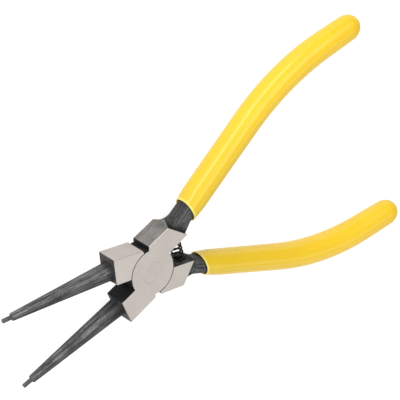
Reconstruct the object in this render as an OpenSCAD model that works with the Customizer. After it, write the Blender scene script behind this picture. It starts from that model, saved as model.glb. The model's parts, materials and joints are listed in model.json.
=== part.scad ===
// Internal circlip pliers: two crossing forged halves on a flush rivet, held open by a small coil spring.
// Origin on the pivot axis at the joint's lower ground face, +X towards the handles, +Z up, millimetres.
// Each half is drawn with its jaw parallel to X and then swung open by rest_angle.

/* [Joint] */
// Radius of each half's joint disc
joint_r = 8.85; // [8:0.05:9.8]
// Thickness of the joint over its two ground faces
joint_t = 9.1; // [8.7:0.1:9.8]
// Angle that each half stands open at rest
rest_angle = 8.7; // [6:0.1:11]
// Gap between the two halves' lapped faces
lap_gap = 0.06; // [0.02:0.01:0.12]
// Gap between a disc and the other half's round recess
recess_gap = 0.3; // [0.2:0.05:0.4]
// Width of the broken edges of the ground blocks
edge_break = 0.25; // [0.1:0.05:0.5]

/* [Rivet] */
// Diameter of the rivet's shank
rivet_d = 5.6; // [4.6:0.1:6.6]
// Diameter of its flush heads
rivet_head_d = 8.2; // [7.4:0.1:9.2]
// Depth of its countersunk heads
rivet_head_t = 1.3; // [0.9:0.1:1.7]
// Radial running clearance of the rivet in the lower half
pivot_clear = 0.06; // [0.03:0.01:0.1]

/* [Jaw block] */
// Distance of the block's front face from the pivot
block_front = 15.1; // [14:0.1:17]
// Inner edge of the front face, from the centre line
front_inner = 1.7; // [1.4:0.1:2]
// Outer edge of the front face, from the centre line
front_outer = 11.4; // [10.8:0.1:12]
// Inner edge of the block where it runs into the disc, from the centre line
jaw_root_in = 0.75; // [0.6:0.05:1]
// Outer rear corner of the block, distance in front of the pivot
jaw_tail_x = 3.05; // [2.8:0.05:3.6]
// Outer rear corner of the block, from the centre line
jaw_tail_out = 9.9; // [9.6:0.05:10.4]

/* [Jaws] */
// Distance of the jaw's axis from the centre line
jaw_offset = 5.4; // [5.2:0.05:5.7]
// Length of the jaw from the block's face to its shoulder
jaw_len = 40.3; // [34:0.5:44]
// Diameter of the jaw at the block
jaw_root_d = 6.9; // [6:0.1:7.2]
// Diameter of the jaw at its shoulder
jaw_end_d = 2.9; // [2.7:0.1:3.2]
// Fillet where the jaw leaves the block
jaw_fillet = 0.9; // [0.4:0.1:1.2]
// Chamfer of the jaw's shoulder
shoulder_chamfer = 0.3; // [0.1:0.05:0.4]

/* [Tip pins] */
// Diameter of the working pin
tip_d = 1.6; // [1.2:0.1:1.8]
// Length of the pin beyond the shoulder
tip_len = 3.6; // [2.6:0.1:4.6]
// Chamfer at the pin's end
tip_chamfer = 0.2; // [0.1:0.05:0.35]
// Diameter of the spigot that is pressed into the jaw
spigot_d = 1.2; // [0.8:0.1:1.4]
// Length of that spigot
spigot_len = 6; // [4:0.5:9]

/* [Rear block] */
// Outer front corner of the rear block, distance behind the pivot
heel_x = 2.85; // [2.6:0.05:3.4]
// Outer front corner of the rear block, from the centre line
heel_out = 10.1; // [9.8:0.05:10.6]
// Slant of the front face of the rear block
heel_slant = 27; // [18:1:34]
// Outer rear corner, distance behind the pivot
rear_outer_x = 12.2; // [11.4:0.1:13.2]
// Outer rear corner, from the centre line
rear_outer_y = 10.95; // [10.4:0.05:11.5]
// Inner rear corner, distance behind the pivot
rear_inner_x = 17.8; // [17.2:0.1:18.6]
// Inner rear corner, from the centre line
rear_inner_y = 3.05; // [2.7:0.05:3.4]
// Length of the rounded nose that carries the outer side on behind the outer rear corner
nose_len = 2.1; // [1.5:0.1:2.8]
// Inner edge where it runs into the disc, from the centre line
rear_root_in = 1.6; // [1.3:0.05:1.9]

/* [Handle] */
// Where the handle's axis leaves the pivot's side of the block, behind the pivot
neck_x = 13; // [12.4:0.1:13.6]
// The same point, from the centre line
neck_y = 4.8; // [4.5:0.05:5.2]
// Direction of the straight part of the handle
handle_angle = 20; // [17:0.5:23]
// Width of the bare handle across the tool's plane
tang_w = 6.3; // [5.8:0.1:6.5]
// Height of the bare handle
tang_h = 8.2; // [7.6:0.1:8.5]
// How much thinner all round the covered handle is from its bend on, and again in its tail
tang_step = 0.2; // [0.1:0.05:0.3]
// Length of the straight part
straight_len = 47.5; // [40:0.5:54]
// Radius of the bend
bend_r = 90; // [70:1:120]
// Angle of the bend
bend_angle = 26; // [18:1:32]
// Length of the straight tail after the bend, to the end of the grip
tail_len = 16.7; // [14:0.1:22]
// Radius of the hollow curves from the rear block's sides to the neck
neck_fillet_r = 6; // [5:0.5:9]
// How far the neck's squared inner flare stands out from the bar at the rear block
flare_out = 0.45; // [0.2:0.05:0.8]
// Width of that flare
flare_w = 3.6; // [3.4:0.1:4.2]
// Radius of the flare's edges
flare_r = 1.6; // [1.2:0.1:1.6]
// Bare length between the end of the flare and the grip's mouth
flare_clear = 0.3; // [0.2:0.1:0.8]
// Step from the rear block's outer side down to the neck
neck_step = 0.4; // [0.2:0.05:0.6]
// Depth of the hollow behind each ground face
scoop_depth = 1.2; // [0.7:0.05:1.5]
// Radius of that hollow
scoop_r = 2.4; // [1.8:0.1:3.2]

/* [Grips] */
// Distance of the grip's mouth along the handle
mouth_at = 10.6; // [9.5:0.1:13]
// Lean of the mouth's edge
mouth_slant = 24; // [0:1:30]
// Width of the grip at its mouth
grip_w_mouth = 8.3; // [7.6:0.1:9]
// Height of the grip at its mouth
grip_h_mouth = 10.2; // [9.5:0.1:10.6]
// Distance along the handle where the grip is at its full height
grip_full_at = 17; // [15:0.5:24]
// Width of the grip at its full height
grip_w_full = 9.2; // [8.6:0.1:10.6]
// Full height of the grip
grip_h_full = 10.8; // [10.2:0.1:12]
// Width that the grip gains two thirds of the way to its end
grip_w_swell = 0.5; // [0:0.1:1]
// Height that it gains there
grip_h_swell = 0.6; // [0:0.1:1]
// Width of the grip near its end
grip_w_end = 9.8; // [9:0.1:11]
// Height of the grip near its end
grip_h_end = 9.2; // [8.8:0.1:11]
// Length of the rounded end
grip_dome = 5.6; // [4.6:0.1:7.4]
// Vinyl left beyond the end of the bare handle
grip_cap = 8; // [7.6:0.2:10]
// Gap between the handle and the inside of the grip
grip_gap = 0.05; // [0.02:0.01:0.1]

/* [Spring] */
// Distance of the spring's axis behind the pivot
spring_x = 13.9; // [13.5:0.1:14.2]
// Length of the spring at rest, between the floors of its two seats
spring_len = 13.2; // [12.4:0.1:14.4]
// Outer diameter of the spring
spring_d = 4.5; // [4:0.1:4.8]
// Diameter of its wire
wire_d = 0.7; // [0.5:0.05:0.8]
// Turns of wire, with one closed turn at each end
spring_turns = 8.5; // [7.5:0.5:9.5]
// Radial gap between the spring and its seats
seat_gap = 0.3; // [0.2:0.05:0.4]
// Gap left at each end of the spring
end_gap = 0.05; // [0.02:0.01:0.1]

/* [Hidden] */
$fn = 72;
eps = 0.01;
steel = "#c9c4bb";
blued = "#3d3d40";
vinyl = "#f5cd2c";
half_t = joint_t / 2;
// Depth inside the disc where the blocks' edges are taken to end
root_depth = 3;
root_x = joint_r - root_depth;
heel_run = heel_out - joint_r + root_depth;
// Outline of the jaw block and of the rear block, with the ends inside the disc
jaw_block = [
    [-block_front, -front_outer],
    [-jaw_tail_x, -jaw_tail_out],
    [0, 0],
    [-root_x, -jaw_root_in],
    [-block_front, -front_inner]
];
rear_block = [
    [rear_inner_x, rear_inner_y],
    [rear_outer_x, rear_outer_y],
    [heel_x, heel_out],
    [heel_x - heel_run * tan(heel_slant), heel_out - heel_run],
    [root_x, rear_root_in]
];
// Directions of the rear block's outer and inner sides, and where the outer side ends
outer_side = rear_block[1] - rear_block[2];
inner_side = rear_block[0] - rear_block[4];
outer_angle = atan2(outer_side.y, outer_side.x);
inner_angle = atan2(inner_side.y, inner_side.x);
nose_end = rear_block[1] + outer_side / norm(outer_side) * nose_len;
web_start = nose_end + neck_step * [sin(outer_angle), -cos(outer_angle)];
// Ground edges that are broken, each as its two ends with the block on the left
broken_edges = [
    [jaw_block[4], jaw_block[0]],
    [jaw_block[0], jaw_block[1]],
    [rear_block[1], rear_block[2]]
];
// Lengths along the handle's axis, counted from the neck
bend_len = bend_r * bend_angle * PI / 180;
handle_len = straight_len + bend_len + tail_len;
tang_end = handle_len - grip_cap;
// Length by which the bar's stretches reach into each other
stretch_lap = 1;
// Angle by which the neck's webs reach on into the rear block
web_reach = 30;
// Least height of a web over the neck's side, and how much thinner than the bar it is all round
web_least = 0.05;
web_sink = 0.1;
// How deep the flare's side lies in the bar where it ends, and how far it reaches into the rear block
flare_sink = 0.95;
flare_root = 2;
// How much lower than the bar the flare is above and below
flare_drop = 0.2;
// Length of bodies that only cut and reach past the part
reach = 40;
// Numbers of stations and sides of the swept surfaces
grip_sides = 28;
taper_steps = 4;
straight_steps = 3;
bend_steps = 12;
dome_steps = 7;
// Share of a quarter turn that the rounded end is drawn over, which leaves a small flat
dome_turn = 88;
spring_steps = 16;
wire_sides = 6;

function bend_turn(s) = min(max(s - straight_len, 0), bend_len) / bend_r * 180 / PI;
function turned(p, a) = [p.x * cos(a) - p.y * sin(a), p.x * sin(a) + p.y * cos(a)];

// Direction of the handle's axis, and its place, at the distance s from the neck
function axis_angle(s) = handle_angle - bend_turn(s);
function axis_local(s) =
    let (a = bend_turn(s), tail = max(s - straight_len - bend_len, 0))
    [min(s, straight_len) + bend_r * sin(a) + tail * cos(a), bend_r * (cos(a) - 1) - tail * sin(a)];
function axis_place(s) = [neck_x, neck_y] + turned(axis_local(s), handle_angle);

function blend(a, b, t) = a + (b - a) * min(max(t, 0), 1);
function smooth(t) = let (c = min(max(t, 0), 1)) c * c * (3 - 2 * c);

// Swell over a run from 0 to 1, which peaks with 1 at two thirds
function swell(t) = let (c = min(max(t, 0), 1)) c * c * (1 - c) * 27 / 4;

// Width and height of the grip at the distance s: from the thin lip to full height, then over a swell to the end
function grip_size(s) = s < grip_full_at
    ? let (t = smooth((s - mouth_at) / (grip_full_at - mouth_at)))
      [blend(grip_w_mouth, grip_w_full, t), blend(grip_h_mouth, grip_h_full, t)]
    : let (t = (s - grip_full_at) / (handle_len - grip_dome - grip_full_at))
      [blend(grip_w_full, grip_w_end, t) + grip_w_swell * swell(t),
       blend(grip_h_full, grip_h_end, t) + grip_h_swell * swell(t)];

// Lean of a section's plane, which fades out before the bend
function lean(s) = mouth_slant * (1 - min(max((s - mouth_at) / (straight_len - mouth_at), 0), 1));

// One oval section of the grip, as points in space
function grip_ring(s, size, steps) = [
    for (i = [0 : steps - 1])
        let (
            a = 360 * i / steps,
            across = size.x / 2 * cos(a),
            p = axis_place(s) + turned([across * tan(lean(s)), across], axis_angle(s))
        )
        [p.x, p.y, size.y / 2 * sin(a)]
];

// Distances of the grip's sections, and the share of the full section in the rounded end
function grip_stations() = concat(
    [for (i = [0 : taper_steps]) [blend(mouth_at, grip_full_at, i / taper_steps), 1]],
    [for (i = [1 : straight_steps]) [blend(grip_full_at, straight_len, i / straight_steps), 1]],
    [for (i = [1 : bend_steps]) [straight_len + bend_len * i / bend_steps, 1]],
    [for (i = [0 : dome_steps])
        let (a = dome_turn * i / dome_steps)
        [handle_len - grip_dome * (1 - sin(a)), cos(a)]]
);

// A closed skin over rings of equal length
module skin(rings) {
    n = len(rings[0]);
    last = len(rings) - 1;
    sides = [
        for (r = [0 : last - 1], i = [0 : n - 1])
            [r * n + i, (r + 1) * n + i, (r + 1) * n + (i + 1) % n, r * n + (i + 1) % n]
    ];
    caps = [[for (i = [0 : n - 1]) i], [for (i = [n - 1 : -1 : 0]) last * n + i]];
    polyhedron([for (ring = rings) each ring], concat(sides, caps), convexity = 6);
}

// Oval section of the bare handle, grown by a gap: two arcs and two flats
module tang_section(grow = 0) {
    straight = (tang_h - tang_w) / 2;
    for (side = [-1, 1])
        translate([0, side * straight])
            circle(d = tang_w + 2 * grow);
    square([tang_w + 2 * grow, 2 * straight], center = true);
}

// Places a straight stretch, drawn along +Z, at the distance s on the handle's axis
module at_axis(s) {
    translate([axis_place(s).x, axis_place(s).y, 0])
        rotate([90, 0, axis_angle(s) + 90])
            children();
}

// The bare handle's bar from the neck to a distance on its axis: straight, bend and tail, each a step thinner
module bar(to, grow = 0) {
    at_axis(0)
        linear_extrude(straight_len)
            tang_section(grow);
    centre = axis_place(straight_len) + turned([0, -bend_r], handle_angle);
    lap_angle = stretch_lap / bend_r * 180 / PI;
    translate([centre.x, centre.y, 0])
        rotate([0, 0, 90 + handle_angle - bend_angle])
            rotate_extrude(angle = bend_angle + lap_angle)
                translate([bend_r, 0])
                    tang_section(grow - tang_step);
    tail_from = straight_len + bend_len;
    at_axis(tail_from)
        translate([0, 0, -stretch_lap])
            linear_extrude(to - tail_from + stretch_lap)
                tang_section(grow - 2 * tang_step);
}

// Block on the tool's side of a line in the plan, through a point at an angle
module inside_line(point, line_angle, side) {
    translate([point.x, point.y, 0])
        rotate([0, 0, line_angle])
            translate([0, -side * reach / 2, 0])
                cube([reach, reach, joint_t], center = true);
}

// Round web that carries a side of the rear block into the neck with a hollow curve.
// It starts at a point of that side, and is kept within the side's line at the given angle.
module neck_web(start, line_angle, side) {
    p = turned(start - [neck_x, neck_y], -handle_angle);
    rise = max(side * p.y - tang_w / 2, web_least);
    run = sqrt(pow(neck_fillet_r, 2) - pow(neck_fillet_r - rise, 2));
    sweep = acos((neck_fillet_r - rise) / neck_fillet_r) + web_reach;
    centre = [neck_x, neck_y]
        + turned([p.x + run, side * (tang_w / 2 + neck_fillet_r)], handle_angle);
    intersection() {
        translate([centre.x, centre.y, 0])
            rotate([0, 0, handle_angle + (side > 0 ? -90 - sweep : 90)])
                rotate_extrude(angle = sweep)
                    translate([neck_fillet_r + tang_w / 2, 0])
                        tang_section(-web_sink);
        inside_line(start, line_angle, side);
    }
}

// Section of the flare, with its inner side on the Y axis
module flare_section() {
    flare_h = tang_h - 2 * flare_drop;
    translate([flare_w / 2, 0]) {
        for (x = [-1, 1], y = [-1, 1])
            translate([x * (flare_w / 2 - flare_r), y * (flare_h / 2 - flare_r)])
                circle(r = flare_r);
        square([flare_w - 2 * flare_r, flare_h], center = true);
        square([flare_w, flare_h - 2 * flare_r], center = true);
    }
}

// Flare that carries the rear block's square inner side into the round neck, and sinks into it at a slant
module neck_flare() {
    corner = turned(rear_block[0] - [neck_x, neck_y], -handle_angle).x;
    run = mouth_at - tang_w / 2 * tan(mouth_slant) - flare_clear - corner;
    slant = atan((flare_out + flare_sink) / run);
    intersection() {
        at_axis(corner - flare_root)
            translate([-tang_w / 2 - flare_out - flare_root * tan(slant), 0, 0])
                rotate([0, slant, 0])
                    linear_extrude((run + flare_root) / cos(slant))
                        flare_section();
        inside_line(rear_block[0], inner_angle, -1);
    }
}

// Rounded nose behind the outer rear corner: the outer side runs on, and falls away above and below
module rear_nose() {
    r = (pow(half_t, 2) + pow(nose_len, 2)) / (2 * nose_len);
    middle = (rear_block[0] + rear_block[1]) / 2;
    intersection() {
        linear_extrude(joint_t, center = true)
            polygon([rear_block[1], middle, nose_end]);
        translate([nose_end.x, nose_end.y, 0])
            rotate([90, 0, outer_angle])
                translate([-r, 0, 0])
                    cylinder(r = r, h = reach, center = true);
    }
}

// Hollow behind the ground faces, along the rear block's slanted rear edge
module rear_scoops() {
    edge = rear_block[1] - rear_block[0];
    back = turned([1, 0], atan2(edge.y, edge.x) - 90);
    set_back = sqrt(pow(scoop_r, 2) - pow(scoop_r - scoop_depth, 2));
    middle = (rear_block[0] + rear_block[1]) / 2 + back * set_back;
    for (face = [-1, 1])
        translate([middle.x, middle.y, face * (half_t - scoop_depth + scoop_r)])
            rotate([90, 0, atan2(edge.y, edge.x) + 90])
                cylinder(r = scoop_r, h = reach, center = true);
}

// Cuts a broken edge along p to q on both ground faces
module edge_cut(p, q) {
    run = q - p;
    for (face = [-1, 1])
        translate([p.x, p.y, face * half_t])
            rotate([0, 0, atan2(run.y, run.x)])
                translate([norm(run) / 2, 0, 0])
                    rotate([45, 0, 0])
                        cube([norm(run) + 2 * edge_break, edge_break * sqrt(2), edge_break * sqrt(2)],
                             center = true);
}

// Tapered jaw along -X from the block's front face
module jaw() {
    translate([-block_front, -jaw_offset, 0])
        rotate([0, -90, 0]) {
            translate([0, 0, -jaw_root_d / 2])
                cylinder(d = jaw_root_d, h = jaw_root_d / 2 + eps);
            cylinder(d1 = jaw_root_d, d2 = jaw_end_d, h = jaw_len - shoulder_chamfer);
            translate([0, 0, jaw_len - shoulder_chamfer])
                cylinder(d1 = jaw_end_d, d2 = jaw_end_d - 2 * shoulder_chamfer, h = shoulder_chamfer);
        }
}

// Hollow fillet round the jaw's root, kept within the block's front face
module jaw_root() {
    intersection() {
        translate([-block_front, -jaw_offset, 0])
            rotate([0, -90, 0])
                rotate_extrude()
                    translate([jaw_root_d / 2 - jaw_fillet, 0])
                        difference() {
                            square([2 * jaw_fillet, jaw_fillet]);
                            translate([2 * jaw_fillet, jaw_fillet])
                                circle(r = jaw_fillet);
                        }
        translate([-block_front - jaw_fillet, -front_outer, edge_break - half_t])
            cube([jaw_fillet, front_outer - front_inner, joint_t - 2 * edge_break]);
    }
}

// Place of the tip pin at the jaw's shoulder, with its axis along +Z
module at_tip() {
    translate([-block_front - jaw_len, -jaw_offset, 0])
        rotate([0, -90, 0])
            children();
}

// Rivet body grown by a clearance
module rivet_form(grow = 0) {
    cylinder(d = rivet_d + 2 * grow, h = joint_t, center = true);
    for (side = [0, 180])
        rotate([side, 0, 0])
            translate([0, 0, half_t - rivet_head_t])
                cylinder(d1 = rivet_d + 2 * grow, d2 = rivet_head_d + 2 * grow, h = rivet_head_t);
}

// One forged half with its disc in the upper layer: jaw, joint, rear block, neck and tang
module half(hole_gap) {
    difference() {
        union() {
            translate([0, 0, lap_gap / 2])
                linear_extrude(half_t - lap_gap / 2) {
                    circle(r = joint_r);
                    polygon(jaw_block);
                    polygon(rear_block);
                }
            translate([0, 0, -half_t])
                linear_extrude(half_t + lap_gap / 2)
                    difference() {
                        union() {
                            polygon(jaw_block);
                            polygon(rear_block);
                        }
                        circle(r = joint_r + recess_gap);
                    }
            difference() {
                union() {
                    bar(tang_end);
                    neck_web(web_start, outer_angle, 1);
                    neck_web(rear_block[0], inner_angle, -1);
                    neck_flare();
                }
                rear_scoops();
            }
            rear_nose();
            jaw();
            jaw_root();
        }
        for (edge = broken_edges)
            edge_cut(edge[0], edge[1]);
        rivet_form(hole_gap);
        rotate([0, 0, -rest_angle])
            translate([spring_x, 0, 0])
                rotate([-90, 0, 0])
                    cylinder(d = spring_d + 2 * seat_gap, h = spring_len / 2);
        at_tip()
            translate([0, 0, -spigot_len])
                cylinder(d = spigot_d, h = spigot_len + eps);
    }
}

// Dipped vinyl sleeve over the handle, open at the mouth
module grip() {
    difference() {
        skin([for (st = grip_stations()) grip_ring(st[0], grip_size(st[0]) * st[1], grip_sides)]);
        bar(tang_end + grip_gap, grip_gap);
    }
}

// Stepped insert: a pressed spigot and the working pin with a chamfered end
module tip_pin() {
    at_tip() {
        translate([0, 0, -spigot_len])
            cylinder(d = spigot_d, h = spigot_len + eps);
        cylinder(d = tip_d, h = tip_len - tip_chamfer);
        translate([0, 0, tip_len - tip_chamfer])
            cylinder(d1 = tip_d, d2 = tip_d - 2 * tip_chamfer, h = tip_chamfer);
    }
}

// Height of the spring's wire along its axis after a number of turns, with a closed turn at each end
function coil_rise(turns) =
    let (
        open_turns = spring_turns - 2,
        closed_rise = wire_d + end_gap,
        open_rise = spring_len - 2 * end_gap - 2 * closed_rise - wire_d,
        closed = min(turns, 1) + max(turns - spring_turns + 1, 0)
    )
    closed * closed_rise + open_rise * min(max((turns - 1) / open_turns, 0), 1);

// Section of the wire after a number of turns, about the spring's axis along +Z
function wire_ring(turns) = [
    for (i = [0 : wire_sides - 1])
        let (
            a = -360 * i / wire_sides,
            r = (spring_d - wire_d) / 2 + wire_d / 2 * cos(a),
            z = coil_rise(turns) + wire_d / 2 * (1 + sin(a))
        )
        [r * cos(360 * turns), r * sin(360 * turns), z]
];

// Turns a half's own frame to its place at rest, for the upper or the lower half
module at_rest(lower) {
    translate([0, 0, half_t])
        rotate([lower ? 180 : 0, 0, 0])
            rotate([0, 0, rest_angle])
                children();
}

module upper_half() {
    color(steel)
        at_rest(false)
            half(0);
}

module lower_half() {
    color(steel)
        at_rest(true)
            half(pivot_clear);
}

module pivot_rivet() {
    color(steel)
        translate([0, 0, half_t])
            rivet_form();
}

module return_spring() {
    color(blued)
        translate([spring_x, -spring_len / 2 + end_gap, half_t])
            rotate([-90, 0, 0])
                skin([for (i = [0 : spring_turns * spring_steps]) wire_ring(i / spring_steps)]);
}

module upper_grip() {
    color(vinyl)
        at_rest(false)
            grip();
}

module lower_grip() {
    color(vinyl)
        at_rest(true)
            grip();
}

module upper_tip_pin() {
    color(blued)
        at_rest(false)
            tip_pin();
}

module lower_tip_pin() {
    color(blued)
        at_rest(true)
            tip_pin();
}

upper_half();
lower_half();
pivot_rivet();
return_spring();
upper_grip();
lower_grip();
upper_tip_pin();
lower_tip_pin();
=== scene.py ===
"""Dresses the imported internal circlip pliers: ground and blackened forgings, grips, spring, pins and rivet.

Every length is in metres in the tool's own frame: the pivot axis is Z, the handles point to +X, and the
joint's lower ground face lies at Z = 0.
"""

import json
import logging
import math
from dataclasses import dataclass, field
from enum import Enum
from typing import Any

import bmesh
import bpy
import numpy as np
from mathutils import Matrix, Vector

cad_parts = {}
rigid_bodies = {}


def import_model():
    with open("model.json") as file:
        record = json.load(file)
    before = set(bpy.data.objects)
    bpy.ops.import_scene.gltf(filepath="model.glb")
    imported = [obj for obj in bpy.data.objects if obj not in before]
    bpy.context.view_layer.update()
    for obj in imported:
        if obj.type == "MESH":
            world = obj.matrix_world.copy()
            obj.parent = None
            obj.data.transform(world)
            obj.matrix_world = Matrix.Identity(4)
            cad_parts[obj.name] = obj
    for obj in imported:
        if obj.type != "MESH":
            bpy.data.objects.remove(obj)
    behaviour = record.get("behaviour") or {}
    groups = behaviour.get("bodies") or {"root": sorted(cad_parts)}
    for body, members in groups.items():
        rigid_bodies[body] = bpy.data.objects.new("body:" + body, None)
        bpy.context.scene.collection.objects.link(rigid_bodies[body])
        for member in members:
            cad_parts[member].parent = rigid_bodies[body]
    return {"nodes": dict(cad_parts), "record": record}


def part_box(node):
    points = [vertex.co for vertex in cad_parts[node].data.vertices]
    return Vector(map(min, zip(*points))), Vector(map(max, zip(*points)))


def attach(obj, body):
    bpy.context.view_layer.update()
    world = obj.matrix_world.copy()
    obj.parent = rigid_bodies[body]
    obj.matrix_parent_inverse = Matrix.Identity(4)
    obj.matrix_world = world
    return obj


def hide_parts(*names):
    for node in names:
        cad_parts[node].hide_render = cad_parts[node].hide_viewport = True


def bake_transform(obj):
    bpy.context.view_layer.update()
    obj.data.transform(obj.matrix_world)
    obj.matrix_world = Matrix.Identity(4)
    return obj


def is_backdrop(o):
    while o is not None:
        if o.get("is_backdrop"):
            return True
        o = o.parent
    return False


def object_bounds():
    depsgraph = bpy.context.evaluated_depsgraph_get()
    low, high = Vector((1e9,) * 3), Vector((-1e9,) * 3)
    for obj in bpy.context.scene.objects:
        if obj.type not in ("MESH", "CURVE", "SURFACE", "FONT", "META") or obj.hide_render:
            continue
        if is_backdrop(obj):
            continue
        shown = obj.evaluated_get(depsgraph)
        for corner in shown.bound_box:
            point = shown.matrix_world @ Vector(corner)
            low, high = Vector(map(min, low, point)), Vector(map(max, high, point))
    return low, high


MM = 0.001
POLE_RADIUS = 0.01 * MM
BLOCK_FRONT = 15.1 * MM
LOG = logging.getLogger("pliers")
Colour = tuple[float, float, float]


class Half(Enum):
    """The two forged halves: the lower one is the upper one turned over about X."""

    UPPER = 1.0
    LOWER = -1.0

    @property
    def body(self) -> str:
        """Name of the body that this half belongs to."""
        return self.name.lower()

    @property
    def over(self) -> np.ndarray:
        """Factors on X, Y and Z that turn this half over about X."""
        return np.array([1.0, self.value, self.value])

    def node(self, piece: str) -> str:
        """Name of this half's node for a kind of piece, such as grip."""
        return f"{self.body}_{piece}"


class Slot(Enum):
    """Material slots of the part's record."""

    FORGED = "forged_steel"
    RIVET = "rivet_steel"
    WIRE = "spring_wire"
    TIP = "tip_steel"
    VINYL = "vinyl"


@dataclass(frozen=True)
class JointFrame:
    """Where a half's own frame lies in the tool.

    In its own frame a half has its jaw along -X and the joint's middle plane at Z = 0.
    """

    half_thickness: float
    rest_angle: float

    @property
    def middle(self) -> np.ndarray:
        """Point of the pivot axis in the joint's middle plane."""
        return np.array([0.0, 0.0, self.half_thickness])

    def turn(self) -> np.ndarray:
        """Matrix that swings a half open by the rest angle about Z."""
        c, s = math.cos(self.rest_angle), math.sin(self.rest_angle)
        return np.array([[c, -s, 0.0], [s, c, 0.0], [0.0, 0.0, 1.0]])

    def place(self, half: Half, points: np.ndarray) -> np.ndarray:
        """Carries points from a half's own frame to the tool: swing open, turn over, lift.

        Args:
            half: The half that the points belong to.
            points: Array whose last axis holds X, Y and Z.

        Returns:
            An array of the same form.
        """
        return points @ self.turn().T * half.over + self.middle

    def unplace(self, half: Half, points: np.ndarray) -> np.ndarray:
        """Carries points from the tool back to a half's own frame.

        Args:
            half: The half that the points belong to.
            points: Array whose last axis holds X, Y and Z.

        Returns:
            An array of the same form.
        """
        return (points - self.middle) * half.over @ self.turn()

    def unturn(self, half: Half, normals: np.ndarray) -> np.ndarray:
        """Carries directions from the tool back to a half's own frame."""
        return normals * half.over @ self.turn()

    @classmethod
    def from_frame(cls, record: dict[str, Any]) -> "JointFrame":
        """Reads the joint's thickness from the rivet, and the rest angle from the tip's mount.

        Args:
            record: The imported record.

        Returns:
            The joint's frame.
        """
        low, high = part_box("pivot_rivet")
        axis = next(m["axis"] for m in record["mounts"] if m["name"] == "upper_tip")
        return cls((high.z - low.z) / 2, math.atan2(-axis[1], -axis[0]))


def build_mesh(name: str, points: np.ndarray, quads: np.ndarray, tris: np.ndarray) -> bpy.types.Mesh:
    """Makes a smooth mesh from arrays, turned so that its faces point outwards.

    The signed volume is the sum over triangles of a . (b x c) / 6. Where it is negative, all faces are
    reversed.

    Args:
        name: Name of the mesh.
        points: Vertices, n by 3.
        quads: Vertex numbers of the four-sided faces, m by 4.
        tris: Vertex numbers of the triangles, k by 3.

    Returns:
        The mesh.
    """
    flat = np.concatenate([quads[:, [0, 1, 2]], quads[:, [0, 2, 3]], tris])
    a, b, c = (points[flat[:, i]] for i in range(3))
    if np.einsum("ij,ij->", a, np.cross(b, c)) < 0:
        quads, tris = quads[:, ::-1], tris[:, ::-1]
    corners = np.concatenate([quads.ravel(), tris.ravel()]).astype(np.int32)
    sizes = np.concatenate([np.full(len(quads), 4), np.full(len(tris), 3)])
    starts = (np.cumsum(sizes) - sizes).astype(np.int32)
    mesh = bpy.data.meshes.new(name)
    mesh.vertices.add(len(points))
    mesh.vertices.foreach_set("co", points.astype(np.float32).ravel())
    mesh.loops.add(len(corners))
    mesh.loops.foreach_set("vertex_index", corners)
    mesh.polygons.add(len(sizes))
    mesh.polygons.foreach_set("loop_start", starts)
    mesh.polygons.foreach_set("use_smooth", np.ones(len(sizes), dtype=bool))
    mesh.update(calc_edges=True)
    mesh.validate()
    return mesh


def skin_mesh(name: str, rings: np.ndarray) -> bpy.types.Mesh:
    """Closes a stack of rings into a skin: quads between neighbouring rings, and a fan to a pole at each end.

    Args:
        name: Name of the mesh.
        rings: Points, rings by sides by 3; each pole is the middle of the first or last ring.

    Returns:
        The mesh, with the rings' points first and then the two poles.
    """
    count, sides, _ = rings.shape
    row, side = np.meshgrid(np.arange(count - 1), np.arange(sides), indexing="ij")
    after = (side + 1) % sides
    here, there = row * sides, (row + 1) * sides
    quads = np.stack([here + side, there + side, there + after, here + after], axis=-1).reshape(-1, 4)
    spoke = np.arange(sides)
    spoke_after = (spoke + 1) % sides
    last = (count - 1) * sides
    first_pole = np.full(sides, count * sides)
    tris = np.concatenate(
        [
            np.stack([first_pole, spoke, spoke_after], axis=-1),
            np.stack([first_pole + 1, last + spoke_after, last + spoke], axis=-1),
        ]
    )
    points = np.concatenate([rings.reshape(-1, 3), rings[:1].mean(axis=1), rings[-1:].mean(axis=1)])
    return build_mesh(name, points, quads, tris)


def store(mesh: bpy.types.Mesh, name: str, values: np.ndarray, domain: str = "POINT") -> None:
    """Keeps an array on a mesh as an attribute that its material reads.

    Args:
        mesh: The mesh.
        name: Name of the attribute.
        values: One number or one vector per element.
        domain: POINT or FACE.
    """
    kind, key = ("FLOAT", "value") if values.ndim == 1 else ("FLOAT_VECTOR", "vector")
    layer = mesh.attributes.new(name, kind, domain)
    layer.data.foreach_set(key, values.astype(np.float32).ravel())


def read_vectors(items: Any, key: str) -> np.ndarray:
    """Reads one vector per vertex or face.

    Args:
        items: The mesh's vertices or faces.
        key: Name of the vector.

    Returns:
        An n by 3 array.
    """
    values = np.empty(len(items) * 3, np.float32)
    items.foreach_get(key, values)
    return values.reshape(-1, 3).astype(float)


def read_numbers(items: Any, key: str) -> np.ndarray:
    """Reads one whole number per element.

    Args:
        items: The mesh's corners, faces or attribute values.
        key: Name of the number.

    Returns:
        An array of n numbers.
    """
    values = np.empty(len(items), np.int32)
    items.foreach_get(key, values)
    return values


def smooth(share: np.ndarray) -> np.ndarray:
    """Eases a share from 0 to 1: 3 t^2 - 2 t^3, held outside."""
    t = np.clip(share, 0.0, 1.0)
    return t * t * (3 - 2 * t)


def add_object(name: str, mesh: bpy.types.Mesh, material: bpy.types.Material) -> bpy.types.Object:
    """Links a mesh into the scene as an object at the origin with one material.

    Args:
        name: Name of the piece.
        mesh: Its mesh, already in the tool's frame.
        material: Its finish.

    Returns:
        The object.
    """
    piece = bpy.data.objects.new(name, mesh)
    mesh.materials.clear()
    mesh.materials.append(material)
    bpy.context.scene.collection.objects.link(piece)
    return piece


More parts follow.
